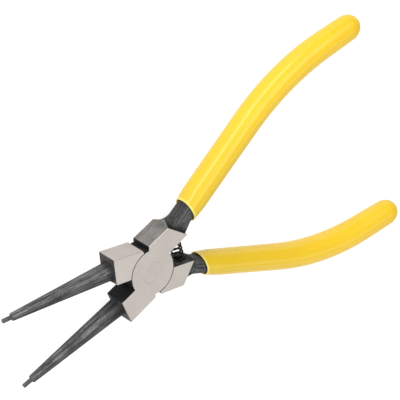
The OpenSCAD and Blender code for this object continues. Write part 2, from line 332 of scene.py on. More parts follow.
class Shader:
    """One node tree under construction, with short ways to add and join nodes."""

    def __init__(self, tree: bpy.types.NodeTree) -> None:
        """Keeps the tree that nodes are added to."""
        self.tree = tree

    def add(self, kind: str, inputs: dict[str | int, Any] | None = None, **settings: Any) -> bpy.types.Node:
        """Adds a node.

        Args:
            kind: The node's type.
            inputs: Values or sockets for its inputs, by name or number.
            settings: The node's own properties.

        Returns:
            The node.
        """
        node = self.tree.nodes.new(kind)
        for key, value in settings.items():
            setattr(node, key, value)
        for key, value in (inputs or {}).items():
            self.feed(node.inputs[key], value)
        return node

    def feed(self, socket: bpy.types.NodeSocket, value: Any) -> None:
        """Links an input to another socket, or sets it to a constant.

        Args:
            socket: The input.
            value: A socket or a constant.
        """
        if isinstance(value, bpy.types.NodeSocket):
            self.tree.links.new(value, socket)
        else:
            socket.default_value = value

    def maths(self, operation: str, first: Any, second: Any = 0.0, clamp: bool = False) -> Any:
        """Adds a Math node and returns its result."""
        inputs = {0: first, 1: second}
        return self.add("ShaderNodeMath", inputs, operation=operation, use_clamp=clamp).outputs[0]

    def ramp(self, value: Any, low: float, high: float, to_low: Any = 0.0, to_high: Any = 1.0) -> Any:
        """Maps a value's range smoothly to another range.

        Args:
            value: The socket that is mapped.
            low: Where the range starts.
            high: Where it ends.
            to_low: Result at its start.
            to_high: Result at its end.

        Returns:
            The result's socket.
        """
        inputs = {"Value": value, "From Min": low, "From Max": high, "To Min": to_low, "To Max": to_high}
        return self.add("ShaderNodeMapRange", inputs, interpolation_type="SMOOTHSTEP").outputs[0]

    def mix(self, share: Any, first: Any, second: Any) -> bpy.types.NodeSocket:
        """Mixes two numbers and returns the result."""
        return self.add("ShaderNodeMix", {0: share, 2: first, 3: second}, data_type="FLOAT").outputs[0]

    def mix_colour(self, share: Any, first: Any, second: Any) -> bpy.types.NodeSocket:
        """Mixes two colours and returns the result."""
        pair = [c if isinstance(c, bpy.types.NodeSocket) else (*c, 1.0) for c in (first, second)]
        return self.add("ShaderNodeMix", {0: share, 6: pair[0], 7: pair[1]}, data_type="RGBA").outputs[2]

    def stored(self, name: str, vector: bool = False) -> bpy.types.NodeSocket:
        """Returns the socket of an attribute that the piece carries."""
        node = self.add("ShaderNodeAttribute", attribute_name=name)
        return node.outputs["Vector" if vector else "Fac"]

    def place(self) -> bpy.types.NodeSocket:
        """Returns the socket of the piece's Object coordinates."""
        return self.add("ShaderNodeTexCoord").outputs["Object"]


class EffectGroups:
    """Shader groups for effects that several finishes share, each built once."""

    mottle_range: tuple[float, float] = (0.32, 0.68)
    lay_range: tuple[float, float] = (0.3, 0.7)
    lay_detail: float = 4.0

    def __init__(self) -> None:
        """Builds the groups."""
        self.mottle = self._mottle()
        self.lay = self._lay()

    @staticmethod
    def _group(name: str, inputs: dict[str, str], output: str) -> tuple[bpy.types.NodeTree, Shader, Any, Any]:
        """Starts a group with named sockets.

        Args:
            name: Name of the group.
            inputs: Socket types by name.
            output: Name of its only output, a number.

        Returns:
            The tree, its shader helper, and the nodes that hold its inputs and its output.
        """
        tree = bpy.data.node_groups.new(name, "ShaderNodeTree")
        for key, kind in inputs.items():
            tree.interface.new_socket(key, in_out="INPUT", socket_type=kind)
        tree.interface.new_socket(output, in_out="OUTPUT", socket_type="NodeSocketFloat")
        shader = Shader(tree)
        return tree, shader, shader.add("NodeGroupInput"), shader.add("NodeGroupOutput")

    def _mottle(self) -> bpy.types.NodeTree:
        """Cloudy patches: noise over the place, its middle range stretched to 0 to 1."""
        number = "NodeSocketFloat"
        inputs = {"Place": "NodeSocketVector", "Per Metre": number, "Detail": number}
        tree, shader, given, result = self._group("mottle", inputs, "Patches")
        place, density, detail = (given.outputs[key] for key in inputs)
        noise = shader.add("ShaderNodeTexNoise", {"Vector": place, "Scale": density, "Detail": detail})
        shader.feed(result.inputs[0], shader.ramp(noise.outputs["Fac"], *self.mottle_range))
        return tree

    def _lay(self) -> bpy.types.NodeTree:
        """Streaks along X: noise over the place with X shortened, stretched like the patches."""
        number = "NodeSocketFloat"
        inputs = {"Place": "NodeSocketVector", "Per Metre": number, "Shortening": number}
        tree, shader, given, result = self._group("lay streaks", inputs, "Streaks")
        place, density, shortening = (given.outputs[key] for key in inputs)
        shorter = shader.add("ShaderNodeCombineXYZ", {0: shortening, 1: 1.0, 2: 1.0}).outputs[0]
        drawn = shader.add("ShaderNodeVectorMath", {0: place, 1: shorter}, operation="MULTIPLY").outputs[0]
        settings = {"Vector": drawn, "Scale": density, "Detail": self.lay_detail}
        noise = shader.add("ShaderNodeTexNoise", settings)
        shader.feed(result.inputs[0], shader.ramp(noise.outputs["Fac"], *self.lay_range))
        return tree

    def use(self, shader: Shader, group: bpy.types.NodeTree, **inputs: Any) -> bpy.types.NodeSocket:
        """Places a group in a material.

        Args:
            shader: The material's shader.
            group: The group.
            inputs: Its inputs, with underscores for spaces.

        Returns:
            The socket of its output.
        """
        node = shader.add("ShaderNodeGroup", node_tree=group)
        connect(shader, node, **inputs)
        return node.outputs[0]


def new_material(name: str) -> tuple[bpy.types.Material, Shader, bpy.types.Node]:
    """Starts a material with one Principled shader.

    Args:
        name: Name of the material.

    Returns:
        The material, its shader helper and the Principled node.
    """
    material = bpy.data.materials.new(name)
    material.use_nodes = True
    shader = Shader(material.node_tree)
    return material, shader, material.node_tree.nodes["Principled BSDF"]


def connect(shader: Shader, surface: bpy.types.Node, **sockets: Any) -> None:
    """Feeds a node's inputs, with underscores for spaces, from sockets or constants.

    Args:
        shader: The material's shader.
        surface: The node, such as the Principled one.
        sockets: Sockets or constants by input name.
    """
    for key, value in sockets.items():
        shader.feed(surface.inputs[key.replace("_", " ")], value)


@dataclass(frozen=True)
class ForgingFinish:
    """Forged steel: black oxide with drawn streaks, and bright ground faces where it was finished."""

    ground_fresh: Colour = (0.80, 0.742, 0.692)
    ground_light: Colour = (0.58, 0.537, 0.498)
    ground_dim: Colour = (0.495, 0.457, 0.424)
    ground_tan: Colour = (0.55, 0.476, 0.402)
    black_deep: Colour = (0.010, 0.010, 0.011)
    # The lighter oxide colour below serves both for wear and for painted highlight and shade.
    black_worn: Colour = (0.29, 0.291, 0.289)
    # The edge colour below is partly rubbing wear and partly a painted highlight.
    edge_light: Colour = (0.70, 0.66, 0.62)
    ground_roughness: tuple[float, float] = (0.46, 0.58)
    black_roughness: tuple[float, float] = (0.42, 0.55)
    metallic_ground: float = 0.8
    metallic_black: float = 0.02
    # Width of the painted shade behind the rear block's edge.
    valley_width: float = 2.6 * MM
    # Where the painted shadow at the cone's root starts, and how dark it gets.
    root_place: float = -BLOCK_FRONT
    root_shade: float = 0.15
    speckle: float = 1.2
    speck_range: tuple[float, float] = (0.8, 1.0)
    speck_gain: float = 0.5
    line_share: float = 0.35
    grain_share: float = 0.2
    tan_share: float = 0.22
    cloud_share: float = 0.25
    rub_from: tuple[float, float] = (0.12, 0.92)
    rub_to: tuple[float, float] = (0.2, 0.9)
    edge_evenness: float = 0.6
    ground_relief: float = 0.15
    skin_height: float = 0.00002
    skin_strength: float = 0.8
    gloss: float = 0.12

    def material(self, effects: EffectGroups) -> bpy.types.Material:
        """Builds the material: the ground share of each face picks between the two looks.

        Args:
            effects: The shared groups.

        Returns:
            The material.
        """
        material, shader, surface = new_material("forged steel")
        lay = shader.stored("lay", vector=True)
        share = shader.stored("ground")
        edge = shader.stored("edge")
        oxide = shader.stored("oxide")
        cloud = effects.use(shader, effects.mottle, Place=lay, Per_Metre=160.0, Detail=3.0)
        smear = effects.use(shader, effects.mottle, Place=lay, Per_Metre=420.0, Detail=2.0)
        lines = effects.use(shader, effects.lay, Place=lay, Per_Metre=5200.0, Shortening=0.02)
        drawn = effects.use(shader, effects.lay, Place=lay, Per_Metre=2000.0, Shortening=0.02)
        flecks = effects.use(shader, effects.lay, Place=lay, Per_Metre=3000.0, Shortening=0.22)
        specks = shader.ramp(flecks, *self.speck_range)
        grain = effects.use(shader, effects.mottle, Place=lay, Per_Metre=3800.0, Detail=4.0)
        partly = shader.maths("MULTIPLY", share, shader.maths("SUBTRACT", 1.0, share))
        uneven = shader.maths("SUBTRACT", shader.mix(0.5, grain, smear), 0.5)
        speckle = shader.maths("MULTIPLY", uneven, self.speckle)
        ground = shader.maths("ADD", share, shader.maths("MULTIPLY", partly, speckle), clamp=True)
        tone = shader.mix(self.line_share, cloud, lines)
        bright = shader.mix_colour(tone, self.ground_dim, self.ground_light)
        bright = shader.mix_colour(shader.maths("MULTIPLY", grain, self.grain_share), bright, self.ground_dim)
        bright = shader.mix_colour(shader.maths("MULTIPLY", smear, self.tan_share), bright, self.ground_tan)
        bright = shader.mix_colour(shader.stored("fresh"), bright, self.ground_fresh)
        pattern = shader.mix(self.grain_share, shader.mix(self.cloud_share, drawn, cloud), grain)
        # Painted shade: the oxide stays dark just behind the rear block's slanted edge.
        valley_shade = shader.ramp(shader.maths("ABSOLUTE", shader.stored("behind")), 0.0, self.valley_width)
        # Painted shadow: the cone darkens towards its root at the block's front, over a reach set per half.
        along = shader.add("ShaderNodeSeparateXYZ", {"Vector": lay}).outputs["X"]
        from_root = shader.maths("ABSOLUTE", shader.maths("SUBTRACT", along, self.root_place))
        root = shader.ramp(from_root, 0.0, shader.stored("root"), self.root_shade)
        valley_shade = shader.maths("MULTIPLY", valley_shade, root)
        rubbing = shader.ramp(pattern, *self.rub_from, *self.rub_to)
        rubbing = shader.maths("ADD", rubbing, shader.maths("MULTIPLY", specks, self.speck_gain))
        # Wear of the oxide, times the painted highlight and shade share, the painted shade behind the rear
        # edge and the painted shadow at the cone's root.
        exposed = shader.maths("MULTIPLY", shader.maths("MULTIPLY", oxide, valley_shade), shader.stored("exposed"))
        worn_and_lit = shader.maths("MULTIPLY", exposed, rubbing, clamp=True)
        dark = shader.mix_colour(worn_and_lit, self.black_deep, self.black_worn)
        colour = shader.mix_colour(ground, dark, bright)
        # Rounded edges beside ground faces are lightened: partly rubbing wear, partly a painted highlight.
        rubbed_and_highlit = shader.maths("MULTIPLY", edge, shader.mix(self.edge_evenness, smear, 1.0))
        colour = shader.mix_colour(rubbed_and_highlit, colour, self.edge_light)
        rough = shader.mix(
            ground,
            shader.mix(drawn, *self.black_roughness),
            shader.mix(lines, *self.ground_roughness),
        )
        metallic = shader.mix(ground, self.metallic_black, self.metallic_ground)
        relief = shader.maths("MULTIPLY", lines, self.ground_relief)
        skin = shader.mix(ground, shader.mix(0.5, grain, drawn), relief)
        height = {"Height": skin, "Distance": self.skin_height, "Strength": self.skin_strength}
        bump = shader.add("ShaderNodeBump", height)
        connect(shader, surface, Base_Color=colour, Roughness=rough, Metallic=metallic)
        connect(shader, surface, Normal=bump.outputs[0], Specular_IOR_Level=self.gloss)
        return material


@dataclass(frozen=True)
class PlainSteelFinish:
    """Turned steel for small round pieces, with fine lines and a few lighter patches."""

    name: str
    deep: Colour
    light: Colour
    metallic: float
    roughness: tuple[float, float]
    line_share: float = 0.4
    line_height: float = 0.000008
    line_strength: float = 0.6

    def material(self, effects: EffectGroups) -> bpy.types.Material:
        """Builds the material from patches and lines.

        Args:
            effects: The shared groups.

        Returns:
            The material.
        """
        material, shader, surface = new_material(self.name)
        place = shader.place()
        patches = effects.use(shader, effects.mottle, Place=place, Per_Metre=700.0, Detail=4.0)
        lines = effects.use(shader, effects.lay, Place=place, Per_Metre=4000.0, Shortening=0.05)
        share = shader.mix(self.line_share, patches, lines)
        colour = shader.mix_colour(share, self.deep, self.light)
        height = {"Height": lines, "Distance": self.line_height, "Strength": self.line_strength}
        bump = shader.add("ShaderNodeBump", height)
        rough = shader.mix(patches, *self.roughness)
        connect(shader, surface, Base_Color=colour, Roughness=rough, Normal=bump.outputs[0])
        connect(shader, surface, Metallic=self.metallic)
        return material


PIN_STEEL = PlainSteelFinish(
    name="pin steel",
    deep=(0.05, 0.049, 0.048),
    light=(0.16, 0.155, 0.15),
    metallic=0.6,
    roughness=(0.3, 0.45),
)
RIVET_STEEL = PlainSteelFinish(
    name="rivet steel",
    deep=(0.555, 0.514, 0.477),
    light=(0.665, 0.616, 0.572),
    metallic=0.8,
    roughness=(0.44, 0.56),
)


@dataclass(frozen=True)
class VinylFinish:
    """Glossy dipped vinyl: a strong yellow, deeper where the coat is thick, with soft runs in it."""

    body: Colour = (0.92, 0.592, 0.006)
    thin: Colour = (0.93, 0.63, 0.012)
    thick: Colour = (0.86, 0.50, 0.006)
    # The rim colour paints a highlight on the rolled lip.
    rim: Colour = (0.96, 0.80, 0.22)
    # Painted shade: the yellow deepens towards the mouth.
    veiled: Colour = (0.77, 0.525, 0.004)
    roughness: tuple[float, float] = (0.235, 0.25)
    gloss: float = 0.7
    run_height: float = 0.000018
    run_strength: float = 0.5
    cloud_share: float = 0.5

    def material(self, effects: EffectGroups) -> bpy.types.Material:
        """Builds the material; the coat attribute says how thick the vinyl is.

        Args:
            effects: The shared groups.

        Returns:
            The material.
        """
        material, shader, surface = new_material("dipped vinyl")
        place = shader.place()
        coat = shader.stored("coat")
        clouds = effects.use(shader, effects.mottle, Place=place, Per_Metre=70.0, Detail=1.0)
        fine = effects.use(shader, effects.mottle, Place=place, Per_Metre=900.0, Detail=2.0)
        runs = effects.use(shader, effects.lay, Place=place, Per_Metre=240.0, Shortening=0.3)
        colour = shader.mix_colour(shader.maths("MULTIPLY", clouds, self.cloud_share), self.body, self.thin)
        colour = shader.mix_colour(coat, colour, self.thick)
        # Painted shade, deepening the yellow towards the mouth.
        colour = shader.mix_colour(shader.stored("veil"), colour, self.veiled)
        # Painted highlight on the rolled lip.
        colour = shader.mix_colour(shader.stored("lip"), colour, self.rim)
        height = {"Height": runs, "Distance": self.run_height, "Strength": self.run_strength}
        bump = shader.add("ShaderNodeBump", height)
        rough = shader.mix(fine, *self.roughness)
        connect(shader, surface, Base_Color=colour, Roughness=rough, Normal=bump.outputs[0])
        connect(shader, surface, Specular_IOR_Level=self.gloss)
        return material


@dataclass(frozen=True)
class WireFinish:
    """Blackened glossy spring wire with faint patches."""

    deep: Colour = (0.006, 0.006, 0.007)
    light: Colour = (0.018, 0.018, 0.019)
    roughness: tuple[float, float] = (0.16, 0.3)
    patch_height: float = 0.00001
    patch_strength: float = 0.5
    metallic: float = 0.3
    gloss: float = 0.25

    def material(self, effects: EffectGroups) -> bpy.types.Material:
        """Builds the material.

        Args:
            effects: The shared groups.

        Returns:
            The material.
        """
        material, shader, surface = new_material("black wire")
        place = shader.place()
        patches = effects.use(shader, effects.mottle, Place=place, Per_Metre=1500.0, Detail=3.0)
        colour = shader.mix_colour(patches, self.deep, self.light)
        rough = shader.mix(patches, *self.roughness)
        height = {"Height": patches, "Distance": self.patch_height, "Strength": self.patch_strength}
        bump = shader.add("ShaderNodeBump", height)
        connect(shader, surface, Base_Color=colour, Roughness=rough, Normal=bump.outputs[0])
        connect(shader, surface, Metallic=self.metallic, Specular_IOR_Level=self.gloss)
        return material


@dataclass(frozen=True)
class HandleAxis:
    """The line that a handle follows in its half's own frame: straight, one bend, then straight."""

    neck: tuple[float, float] = (13.0 * MM, 4.8 * MM)
    angle: float = math.radians(20.0)
    straight: float = 47.5 * MM
    bend_radius: float = 90.0 * MM
    bend_angle: float = math.radians(26.0)
    tail: float = 16.7 * MM

    @property
    def bend_length(self) -> float:
        """Length of the bend along the line."""
        return self.bend_radius * self.bend_angle

    @property
    def length(self) -> float:
        """Length of the whole line."""
        return self.straight + self.bend_length + self.tail

    def turn(self, s: np.ndarray) -> np.ndarray:
        """Angle that the line has bent by at each distance: arc length over radius, held at its ends."""
        return np.clip(s - self.straight, 0.0, self.bend_length) / self.bend_radius

    def direction(self, s: np.ndarray) -> np.ndarray:
        """Angle of the line at each distance."""
        return self.angle - self.turn(s)

    def place(self, s: np.ndarray) -> np.ndarray:
        """Points of the line: along the straight, round the arc, then along the tail.

        Args:
            s: Distances from the neck.

        Returns:
            Points in the plan, n by 2.
        """
        a = self.turn(s)
        rest = np.maximum(s - self.straight - self.bend_length, 0.0)
        x = np.minimum(s, self.straight) + self.bend_radius * np.sin(a) + rest * np.cos(a)
        y = self.bend_radius * (np.cos(a) - 1.0) - rest * np.sin(a)
        c, si = math.cos(self.angle), math.sin(self.angle)
        return np.stack([self.neck[0] + x * c - y * si, self.neck[1] + x * si + y * c], axis=-1)


@dataclass
class ForgedHalf:
    """One forged half, as a copy of its solid with its edges rounded and its finish marked face by face."""

    half: Half
    joint: JointFrame
    axis: HandleAxis = field(default_factory=HandleAxis)
    weld: float = 0.002 * MM
    flat_angle: float = math.radians(0.4)
    edge_radius: float = 0.12 * MM
    sharp_from: float = math.radians(24.0)
    crease_from: float = math.radians(62.0)
    block_front: float = BLOCK_FRONT
    front_outer: float = 11.4 * MM
    jaw_tail: tuple[float, float] = (3.05 * MM, 9.9 * MM)
    heel: tuple[float, float] = (2.85 * MM, 10.1 * MM)
    rear_outer: tuple[float, float] = (12.2 * MM, 10.95 * MM)
    rear_inner: tuple[float, float] = (17.8 * MM, 3.05 * MM)
    nose_length: float = 2.1 * MM
    nose_slack: float = 0.04 * MM
    # Reach of the painted shadow at the cone's root, for the upper and the lower half.
    root_reaches: tuple[float, float] = (10.0 * MM, 3.6 * MM)
    plane_slack: float = 0.06 * MM
    aligned_from: float = 0.995
    flat_from: float = 0.99
    front_from: float = 0.98
    broken_depth: float = 0.3 * MM
    broken_slack: float = 0.12
    rub_full: float = 0.95
    side_share: float = 0.24
    front_share: float = 0.10
    fresh_face: float = 0.37
    fresh_side: float = 0.16
    fresh_lower_jaw: float = 0.52
    cone_wear: float = 1.0
    neck_wear: float = 0.42
    rear_wear: float = 0.9
    inner_wear: float = 0.03
    # Painted shade on faces turned sideways, and painted highlight lines on the cones.
    side_rub: float = 0.6
    across_lines: tuple[float, float, float] = (0.0, -0.79, 0.61)
    line_floor: float = 0.34
    lines: tuple[tuple[float, float, float], ...] = (
        (-0.66, 0.2, 0.42),
        (0.08, 0.26, 0.64),
        (0.7, 0.2, 0.12),
    )
    broken_share: float = 0.84

    def own_points(self, mesh: bpy.types.Mesh) -> np.ndarray:
        """Returns the mesh's vertices in the half's own frame."""
        return self.joint.unplace(self.half, read_vectors(mesh.vertices, "co"))

    def copy_mesh(self, node: bpy.types.Object, name: str) -> bpy.types.Mesh:
        """Copies the solid's mesh, joins its loose triangles, and rounds the edges that are sharp.

        Args:
            node: The solid's object.
            name: Name of the new mesh.

        Returns:
            The new mesh, whose rounded attribute is 1 on the rounded edges' faces.
        """
        mesh = bpy.data.meshes.new(name)
        work = bmesh.new()
        work.from_mesh(node.data)
        bmesh.ops.remove_doubles(work, verts=work.verts, dist=self.weld)
        bmesh.ops.dissolve_limit(work, angle_limit=self.flat_angle, verts=work.verts, edges=work.edges)
        work.to_mesh(mesh)
        self.straighten_nose(mesh)
        work.clear()
        work.from_mesh(mesh)
        rounded = work.faces.layers.int.new("rounded")
        sharp = [e for e in work.edges if len(e.link_faces) == 2 and e.calc_face_angle() > self.sharp_from]
        made = bmesh.ops.bevel(
            work,
            geom=sharp,
            offset=self.edge_radius,
            segments=2,
            profile=0.5,
            affect="EDGES",
            clamp_overlap=True,
        )
        for face in made["faces"]:
            face[rounded] = 1
        work.to_mesh(mesh)
        work.free()
        mesh.polygons.foreach_set("use_smooth", np.ones(len(mesh.polygons), dtype=bool))
        mesh.set_sharp_from_angle(angle=self.crease_from)
        return mesh

    def straighten_nose(self, mesh: bpy.types.Mesh) -> None:
        """Gives the nose behind the rear block's outer side two straight slopes in place of its arc.

        The arc runs through the tip and the two outer corners. Each of its points slides along the outer side
        to the straight line from the tip to the corner on its own side: tip length times 1 - height / half
        thickness.

        Args:
            mesh: The half's mesh.
        """
        own = self.own_points(mesh)
        run = np.subtract(self.rear_outer, self.heel)
        backward = run / np.hypot(*run)
        offset = own[:, :2] - np.array(self.rear_outer)
        across = offset @ np.array([-backward[1], backward[0]])
        along = offset @ backward
        tall = self.joint.half_thickness
        height = np.minimum(np.abs(own[:, 2]), tall)
        radius = (tall**2 + self.nose_length**2) / (2.0 * self.nose_length)
        arc = np.sqrt(radius**2 - height**2) - radius + self.nose_length
        slope = self.nose_length * (1.0 - height / tall)
        on_arc = np.abs(along - arc) < self.nose_slack
        on_nose = on_arc & (along > self.plane_slack) & (across < self.plane_slack)
        own[:, :2] += np.where(on_nose, slope - arc, 0.0)[:, None] * backward
        mesh.vertices.foreach_set("co", self.joint.place(self.half, own).astype(np.float32).ravel())

    def on_side(self, centres: np.ndarray, normals: np.ndarray, start: Any, end: Any) -> np.ndarray:
        """Says which faces lie in the upright plane through two points of the plan.

        A face does where its normal is along the plane's and its centre is within the slack of it.

        Args:
            centres: Faces' centres in the half's own frame.
            normals: Faces' normals in the same frame.
            start: First point of the plan.
            end: Second point of the plan.

        Returns:
            One truth value per face.
        """
        run = np.subtract(end, start)
        outward = np.array([-run[1], run[0]]) / np.hypot(*run)
        off = (centres[:, :2] - np.array(start)) @ outward
        return (np.abs(off) < self.plane_slack) & (np.abs(normals[:, :2] @ outward) > self.aligned_from)

    def ground_share(self, mesh: bpy.types.Mesh) -> tuple[np.ndarray, np.ndarray]:
        """Works out how far each face is ground bright, and how much of the fresh colour it takes.

        The joint's two flat faces and the jaw block's outer side are bright, the rear block's outer side is
        duller, the jaw block's front is only brushed, and the rest stays black. The jaw block's outer side
        takes the least of the fresh colour, and the lower half's jaw face takes the most.

        Args:
            mesh: The half's mesh.

        Returns:
            Two shares from 0 to 1 per face.
        """
        centres = self.joint.unplace(self.half, read_vectors(mesh.polygons, "center"))
        normals = self.joint.unturn(self.half, read_vectors(mesh.polygons, "normal"))
        tall = self.joint.half_thickness
        height, upright = np.abs(centres[:, 2]), np.abs(normals[:, 2])
        top = (upright > self.flat_from) & (height > tall - self.plane_slack)
        front_corner = (-self.block_front, -self.front_outer)
        jaw_side = self.on_side(centres, normals, front_corner, (-self.jaw_tail[0], -self.jaw_tail[1]))
        rear_side = self.on_side(centres, normals, self.heel, self.rear_outer)
        in_front = np.abs(centres[:, 0] + self.block_front) < self.plane_slack
        front = in_front & (np.abs(normals[:, 0]) > self.front_from)
        slanted = np.abs(upright - math.sqrt(0.5)) < self.broken_slack
        broken = slanted & (height > tall - self.broken_depth)
        share = np.zeros(len(centres))
        share[front] = self.front_share
        share[rear_side] = self.side_share
        share[broken] = self.broken_share
        share[top | jaw_side] = 1.0
        fresh = np.full(len(centres), self.fresh_face)
        fresh[jaw_side] = self.fresh_side
        if self.half is Half.LOWER:
            fresh[top & (centres[:, 0] < -self.jaw_tail[0])] = self.fresh_lower_jaw
        return share, fresh

    def mark(self, mesh: bpy.types.Mesh) -> None:
        """Stores the finish on the mesh: ground share, rounded edges lightened by rubbing wear and a painted
        highlight, and how much wear the black oxide shows.

        A rounded edge takes the largest share of the flat faces that meet its corners.

        Args:
            mesh: The half's mesh, whose rounded attribute is used up here.
        """
        rounded = read_numbers(mesh.attributes["rounded"].data, "value")
        mesh.attributes.remove(mesh.attributes["rounded"])
        corners = read_numbers(mesh.loops, "vertex_index")
        starts = read_numbers(mesh.polygons, "loop_start")
        counts = np.diff(np.append(starts, len(corners)))
        share, fresh = self.ground_share(mesh)
        share = share * (rounded == 0)
        at_vertex = np.zeros(len(mesh.vertices))
        np.maximum.at(at_vertex, corners, np.repeat(share, counts))
        beside = np.maximum.reduceat(at_vertex[corners], starts)
        x = self.joint.unplace(self.half, read_vectors(mesh.polygons, "center"))[:, 0]
        wear = np.where(x < -self.block_front - self.plane_slack, self.cone_wear, self.inner_wear)
        wear = np.where(x > self.heel[0], self.rear_wear, wear)
        wear = np.where(x > self.axis.neck[0] - self.plane_slack, self.neck_wear, wear)
        store(mesh, "ground", np.where(rounded == 1, beside, share), "FACE")
        store(mesh, "fresh", fresh, "FACE")
        store(mesh, "edge", rounded * beside, "FACE")
        store(mesh, "oxide", wear, "FACE")

    def lay_place(self, mesh: bpy.types.Mesh) -> np.ndarray:
        """Coordinates whose X runs along the forging: along the jaw in front, along the handle behind.

        Args:
            mesh: The half's mesh.

        Returns:
            One vector per vertex.
        """
        own = self.own_points(mesh)
        behind = own[:, 0] > self.axis.neck[0]
        c, s = math.cos(self.axis.angle), math.sin(self.axis.angle)
        x, y, z = (own - np.array([*self.axis.neck, 0.0])).T
        along = np.stack([x * c + y * s + self.axis.neck[0], y * c - x * s, z], axis=-1)
        return np.where(behind[:, None], along, own)

    def exposed_share(self, mesh: bpy.types.Mesh) -> np.ndarray:
        """Works out how much each vertex is rubbed, with painted highlight and shade in it.

        A cone has painted highlight lines along it, where a soft box's reflection would lie: with q the
        normal's part along the direction across the lines, the share is a floor plus, for each line, its
        strength times exp(-((q - place) / width)^2). The rest of the forging is lighter where it faces up or
        down, by rubbing and by a painted shade that keeps faces turned sideways darker, from the side floor
        to 1.

        Args:
            mesh: The half's mesh.

        Returns:
            One share per vertex.
        """
        normals = read_vectors(mesh.vertices, "normal")
        on_cone = self.own_points(mesh)[:, 0] < -self.block_front - self.plane_slack
        across = normals @ np.array(self.across_lines)
        place, width, strength = np.array(self.lines).T
        highlight_lines = self.line_floor + np.exp(-(((across[:, None] - place) / width) ** 2)) @ strength
        flat = self.side_rub + (1.0 - self.side_rub) * smooth(np.abs(normals[:, 2]) / self.rub_full)
        return np.where(on_cone, highlight_lines, flat)

    def behind_edge(self, mesh: bpy.types.Mesh) -> np.ndarray:
        """Distance of each vertex behind the rear block's slanted rear edge, in the plan."""
        own = self.own_points(mesh)[:, :2]
        run = np.subtract(self.rear_inner, self.rear_outer)
        backward = np.array([-run[1], run[0]]) / np.hypot(*run)
        return (own - np.array(self.rear_outer)) @ backward

    def build(self, node: bpy.types.Object, material: bpy.types.Material) -> bpy.types.Object:
        """Makes the dressed half in place of its solid.

        Args:
            node: The solid's object.
            material: The forging's finish.

        Returns:
            The piece.
        """
        name = self.half.node("forging")
        mesh = self.copy_mesh(node, name)
        self.mark(mesh)
        store(mesh, "lay", self.lay_place(mesh))
        # Rubbing, painted highlight lines on the cones, and painted shade on faces turned sideways.
        store(mesh, "exposed", self.exposed_share(mesh))
        store(mesh, "behind", self.behind_edge(mesh))
        # The painted shadow at the cone's root reaches further on one half.
        reach = self.root_reaches[0 if self.half is Half.UPPER else 1]
        store(mesh, "root", np.full(len(mesh.vertices), reach))
        piece = add_object(name, mesh, material)
        flats = piece.modifiers.new("flat faces stay flat", "WEIGHTED_NORMAL")
        flats.keep_sharp = True
        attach(piece, self.half.body)
        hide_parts(self.half.node("half"))
        return piece


